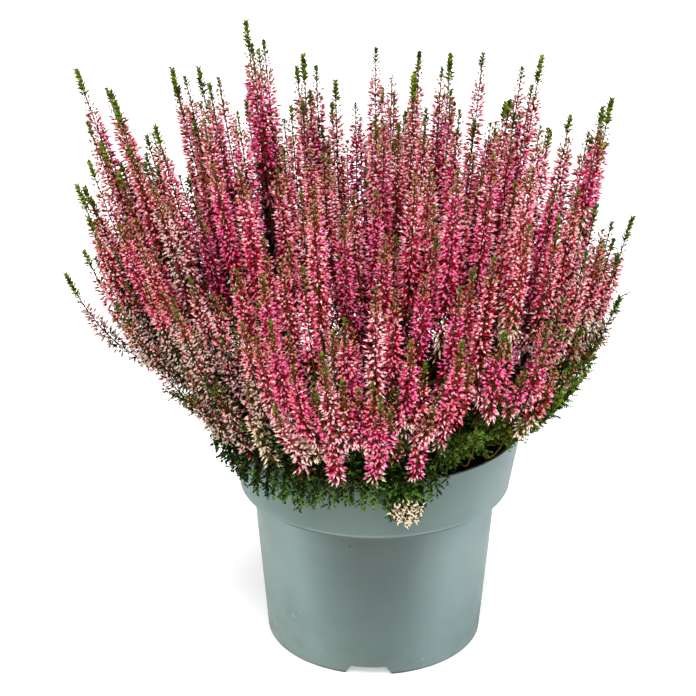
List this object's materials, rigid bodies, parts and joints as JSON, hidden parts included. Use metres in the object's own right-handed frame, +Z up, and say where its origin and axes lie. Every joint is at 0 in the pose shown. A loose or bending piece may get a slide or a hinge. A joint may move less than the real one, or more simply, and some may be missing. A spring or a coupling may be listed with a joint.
{
  "type": "potted heather",
  "caption": "Potted heather in flower: upright blossom spikes fan out from a short woody stem over a leafy skirt, in a round nursery pot with a wide collar.",
  "frame": {"origin": "centre of the flat pad in the middle of the pot's underside, on the surface that it stands on", "axes": "+Z up along the pot's axis; the picture's side faces -Y; the crown leans a little towards -X"},
  "size_m": [0.2815, 0.2132, 0.3234],
  "materials": {
    "pot": "grey-blue moulded plastic, satin, near-black inside",
    "compost": "dark moist peat compost, granular",
    "wood": "thin dark red-brown bark",
    "blossom": "pink to cream bell buds in spikes with green tips",
    "leaf": "small dark green scale leaves"
  },
  "bodies": {
    "root": {"pot": "pot", "compost": "compost", "stem": "wood", "bough_01": "wood", "bough_02": "wood", "bough_03": "wood", "bough_04": "wood", "bough_05": "wood", "bough_06": "wood", "bough_07": "wood", "bough_08": "wood", "bough_09": "wood", "bough_10": "wood", "bough_11": "wood", "bough_12": "wood", "bough_13": "wood", "bough_14": "wood", "blossom_mass_01": "blossom", "blossom_mass_02": "blossom", "blossom_mass_03": "blossom", "blossom_mass_04": "blossom", "blossom_mass_05": "blossom", "blossom_mass_06": "blossom", "blossom_mass_07": "blossom", "blossom_mass_08": "blossom", "blossom_mass_09": "blossom", "blossom_mass_10": "blossom", "blossom_mass_11": "blossom", "blossom_mass_12": "blossom", "blossom_mass_13": "blossom", "blossom_mass_14": "blossom", "leaf_skirt_01": "leaf", "leaf_skirt_02": "leaf", "leaf_skirt_03": "leaf", "leaf_skirt_04": "leaf", "leaf_skirt_05": "leaf", "leaf_skirt_06": "leaf", "leaf_skirt_07": "leaf", "leaf_skirt_08": "leaf"}
  },
  "joints": []
}
